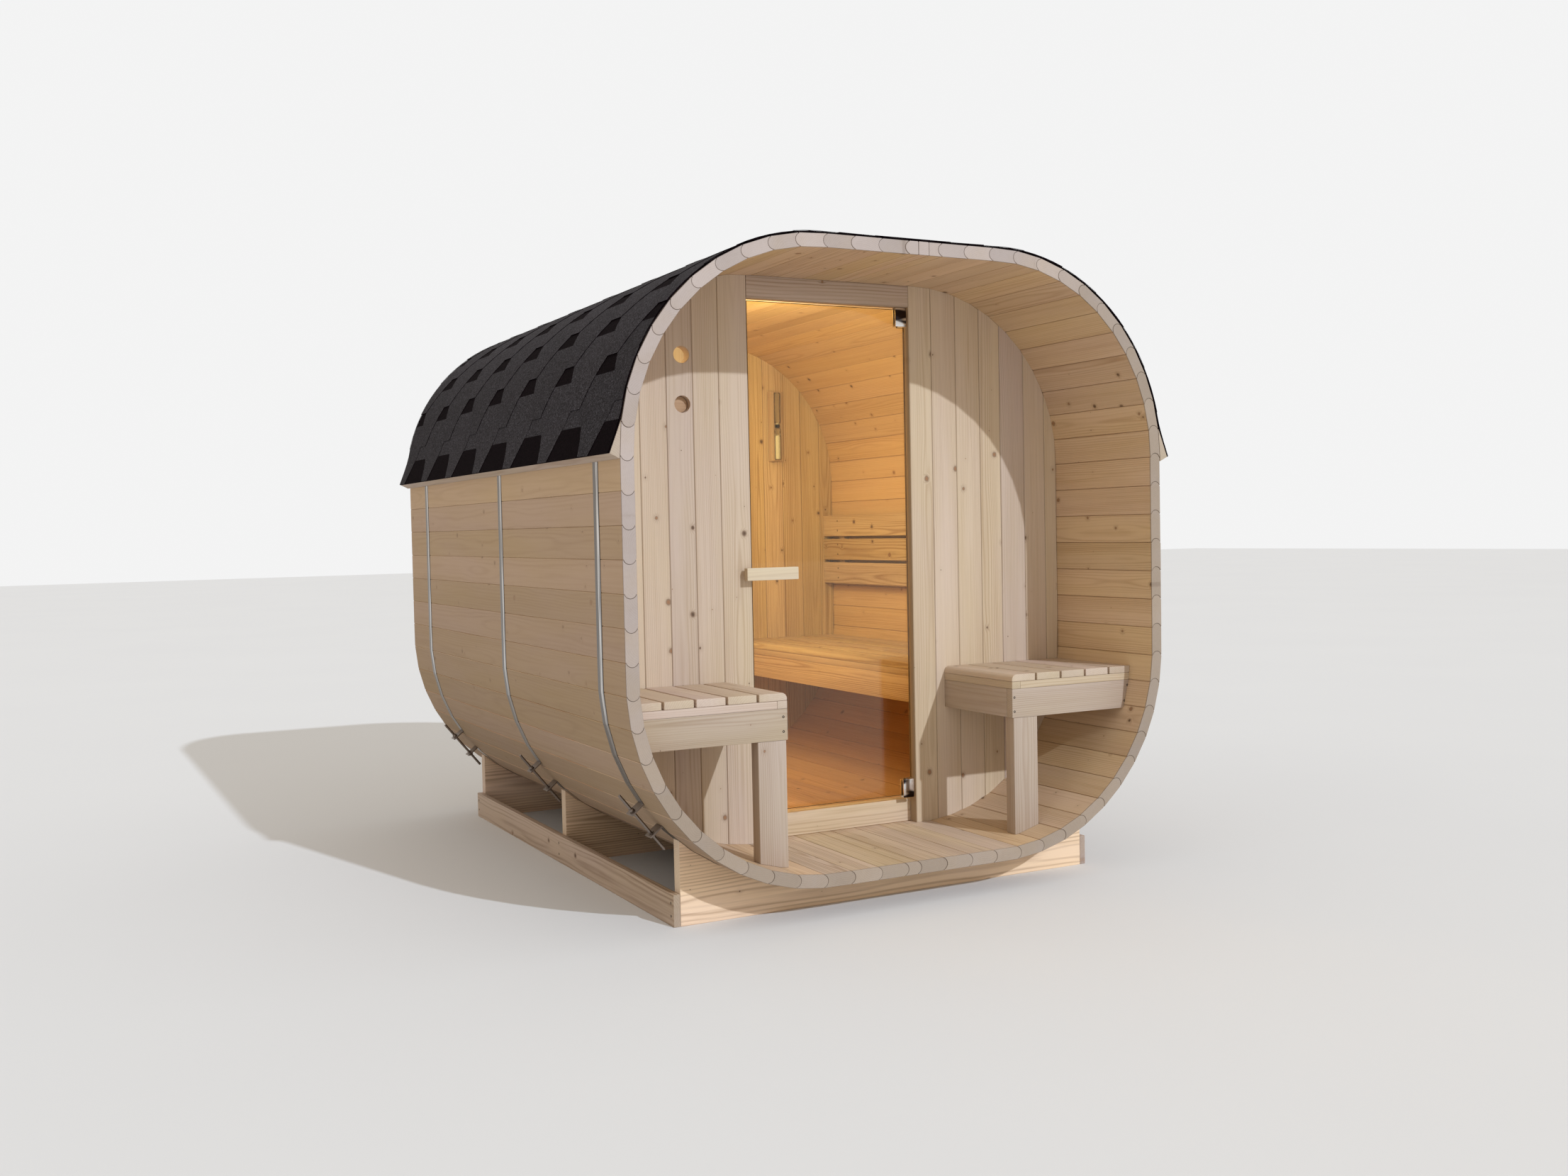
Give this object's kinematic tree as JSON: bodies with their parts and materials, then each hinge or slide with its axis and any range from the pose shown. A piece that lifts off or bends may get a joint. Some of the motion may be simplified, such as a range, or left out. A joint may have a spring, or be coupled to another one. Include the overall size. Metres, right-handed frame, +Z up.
{
  "type": "outdoor sauna cabin",
  "caption": "Rounded-square stave sauna cabin on a low timber frame, with an open porch, porch benches, a hinged glass door and a shingled roof",
  "frame": {"origin": "middle of the footprint, on the ground the base rails stand on", "axes": "+X to the right seen from the porch, -Y out of the porch, +Z up"},
  "size_m": [1.8578, 2.226, 1.8862],
  "materials": {
    "stave_wood": "matte",
    "board_wood": "matte",
    "handle_wood": "satin",
    "steel": "satin",
    "chrome": "polished",
    "door_glass": "polished",
    "clear_glass": "polished",
    "roof_felt": "matte"
  },
  "bodies": {
    "cabin": {"ceiling_staves": "stave_wood", "upper_right_staves": "stave_wood", "right_wall_staves": "stave_wood", "lower_right_staves": "stave_wood", "floor_staves": "stave_wood", "lower_left_staves": "stave_wood", "left_wall_staves": "stave_wood", "upper_left_staves": "stave_wood", "closing_stave": "stave_wood", "front_wall_left": "board_wood", "front_wall_right": "board_wood", "door_header": "board_wood", "door_sill": "board_wood", "rear_wall": "board_wood", "door_hinge_brackets": "chrome", "hoop_bands": "steel", "hoop_tensioners": "steel", "eave_battens": "stave_wood", "roof_covering": "roof_felt", "base_rails": "stave_wood", "cradles": "stave_wood", "left_bench_slats": "board_wood", "left_bench_aprons": "board_wood", "left_bench_leg": "board_wood", "left_bench_laths": "board_wood", "right_bench_slats": "board_wood", "right_bench_aprons": "board_wood", "right_bench_leg": "board_wood", "right_bench_laths": "board_wood", "inner_bench_slats": "board_wood", "inner_bench_apron": "board_wood", "inner_bench_laths": "board_wood", "backrest_slats": "board_wood", "backrest_battens": "board_wood", "timer_pin": "steel"},
    "door": {"door_glass": "door_glass", "door_hinge_clamps": "chrome", "door_handle": "handle_wood", "handle_posts": "chrome", "inner_knobs": "handle_wood"},
    "timer": {"timer_board": "handle_wood", "timer_tube": "clear_glass"}
  },
  "joints": [
    {"name": "door_hinge", "type": "hinge", "parent": "cabin", "child": "door", "pos_m": [0.254, -0.619, 0], "axis": [0, 0, 1], "range_deg": [0, 100]},
    {"name": "timer_turn", "type": "hinge", "parent": "cabin", "child": "timer", "pos_m": [0.583, 0.87, 1.51], "axis": [0, 1, 0], "continuous": true}
  ]
}
